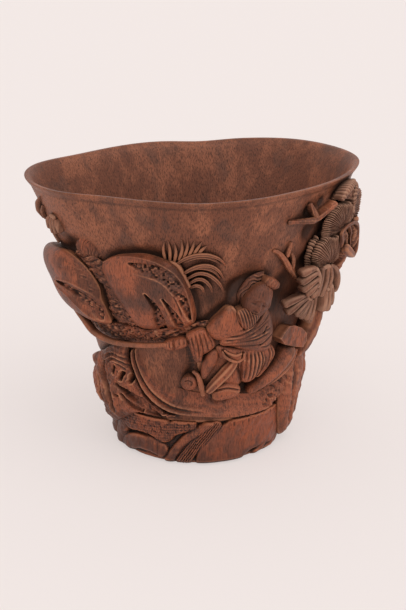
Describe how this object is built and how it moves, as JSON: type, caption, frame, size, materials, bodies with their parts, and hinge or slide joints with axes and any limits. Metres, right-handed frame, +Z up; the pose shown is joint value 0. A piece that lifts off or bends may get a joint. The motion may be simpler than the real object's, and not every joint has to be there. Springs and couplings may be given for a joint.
{
  "type": "libation cup",
  "caption": "Flared libation cup of dark carved wood on a rock foot, with a scholar, boulders and pines in high relief round its wall.",
  "frame": {"origin": "centre of the flat round foot, on the surface that the cup stands on", "axes": "+Z up, -Y out of the side that carries the scholar, +X to the right of that side, towards the long end with the pine"},
  "size_m": [0.1196, 0.1, 0.1031],
  "materials": {
    "wall_wood": "satin, hand-rubbed, with fine dark upright grain dashes",
    "foot_wood": "worn to a low polish on the ridges, dark and dull in the hollows",
    "relief_wood": "carved and rubbed, polished where it stands proud",
    "pine_wood": "finely cut, dry and slightly dusty"
  },
  "bodies": {
    "root": {"vessel": "wall_wood", "foot_block": "foot_wood", "pole": "relief_wood", "scholar": "relief_wood", "boulder_arch": "relief_wood", "boulder_left": "relief_wood", "rock_shelf": "relief_wood", "terrace": "relief_wood", "stump": "relief_wood", "pine_trunk": "relief_wood", "holed_rock": "relief_wood", "rock_right": "relief_wood", "bough_upper": "relief_wood", "bough_lower": "relief_wood", "bough_fork": "relief_wood", "fan_rim": "pine_wood", "fan_upper": "pine_wood", "fan_middle": "pine_wood", "fan_inner": "pine_wood", "ring_branch": "relief_wood", "fan_lower": "pine_wood", "fan_low": "pine_wood", "leaf_high": "pine_wood", "leaf_middle": "pine_wood", "leaf_low": "pine_wood", "leaf_side": "pine_wood", "sprig_left": "pine_wood", "grass": "relief_wood", "boulder_back": "relief_wood", "boulder_back_low": "relief_wood", "terrace_back": "relief_wood", "rock_back": "relief_wood", "rock_middle": "relief_wood", "rock_far": "relief_wood", "bough_back": "relief_wood", "fan_back_high": "pine_wood", "fan_back_rim": "pine_wood", "fan_back_middle": "pine_wood", "fan_back_inner": "pine_wood", "fan_back_far": "pine_wood", "fan_back_low": "pine_wood", "fan_back_under": "pine_wood", "leaf_back": "pine_wood"}
  },
  "joints": []
}
